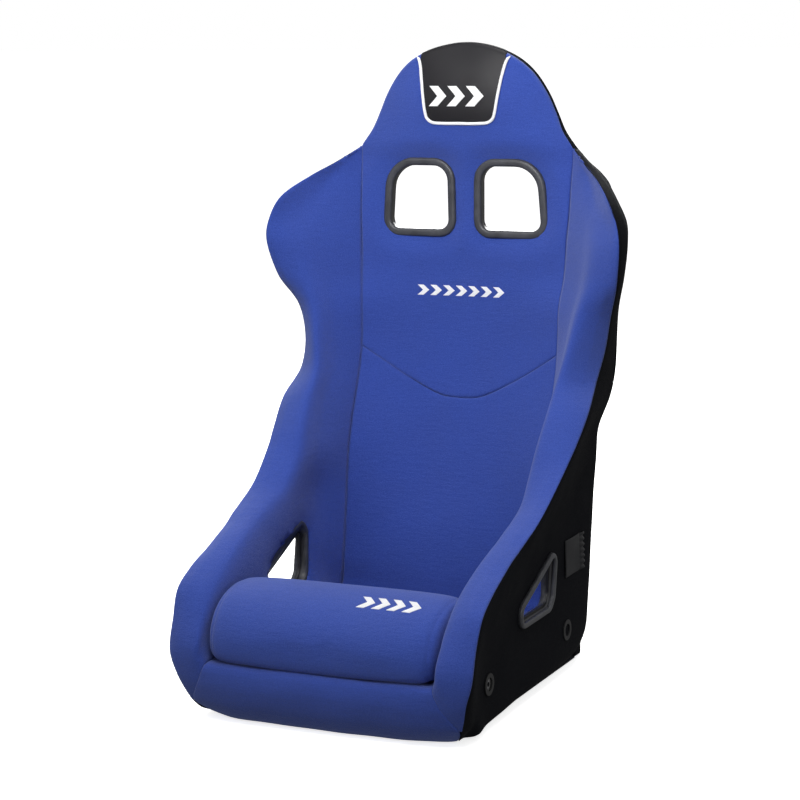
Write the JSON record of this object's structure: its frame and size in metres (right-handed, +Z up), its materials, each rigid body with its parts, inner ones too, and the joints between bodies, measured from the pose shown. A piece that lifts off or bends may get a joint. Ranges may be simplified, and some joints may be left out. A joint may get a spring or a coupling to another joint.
{
  "type": "racing bucket seat",
  "caption": "Fixed-back bucket seat with side and shoulder bolsters, harness slots, a tube frame, fabric covers and a lift-off leg cushion.",
  "frame": {"origin": "middle of the flat underside, under the centre of the seat's overall box", "axes": "+Z up; the seat faces -Y; +X is the sitter's left"},
  "size_m": [0.5518, 0.561, 0.89],
  "materials": {
    "foam": "open-cell foam",
    "front_fabric": "soft knitted face, blue",
    "side_fabric": "black stretch fabric",
    "underside_fabric": "black dust cover",
    "badge_panel": "smooth black fabric",
    "piping": "white corded piping",
    "bezel": "moulded, fine satin grain",
    "plated_steel": "zinc plated",
    "webbing": "elastic webbing",
    "touch_fastener": "hook and loop",
    "label": "grey sewn patch",
    "frame_paint": "black powder coat"
  },
  "bodies": {
    "seat": {"back_foam": "foam", "back_webbing": "webbing", "base_cover": "front_fabric", "base_foam": "foam", "base_hook_strips": "touch_fastener", "base_rail_left": "frame_paint", "base_rail_right": "frame_paint", "bolster_cover_left": "front_fabric", "bolster_cover_right": "front_fabric", "bolster_foam_left": "foam", "bolster_foam_right": "foam", "front_cover_lower": "front_fabric", "front_cover_upper": "front_fabric", "front_cross_tube": "frame_paint", "head_badge_panel": "badge_panel", "head_band": "side_fabric", "head_foam": "foam", "head_piping": "piping", "lap_bezel_inner_left": "bezel", "lap_bezel_inner_right": "bezel", "lap_bezel_outer_left": "bezel", "lap_bezel_outer_right": "bezel", "lip_cover": "front_fabric", "lip_foam": "foam", "lumbar_cross_tube": "frame_paint", "lumbar_foam": "foam", "mount_bosses": "plated_steel", "mount_eyelets": "plated_steel", "perimeter_hoop_tube": "frame_paint", "rear_cover": "side_fabric", "rear_cross_tube": "frame_paint", "seat_pan": "frame_paint", "shoulder_bezel_front_left": "bezel", "shoulder_bezel_front_right": "bezel", "shoulder_bezel_rear_left": "bezel", "shoulder_bezel_rear_right": "bezel", "shoulder_cross_tube": "frame_paint", "side_cover_left": "side_fabric", "side_cover_right": "side_fabric", "side_label": "label", "side_plate_left": "frame_paint", "side_plate_right": "frame_paint", "underside_cover": "underside_fabric"},
    "leg_cushion": {"leg_cushion_foam": "foam", "leg_cushion_cover": "front_fabric", "cushion_loop_strips": "touch_fastener"}
  },
  "joints": [
    {"name": "leg_cushion_lift_off", "type": "slide", "parent": "seat", "child": "leg_cushion", "axis": [0, -0.6, 0.8], "range_m": [0, 0.35]}
  ]
}
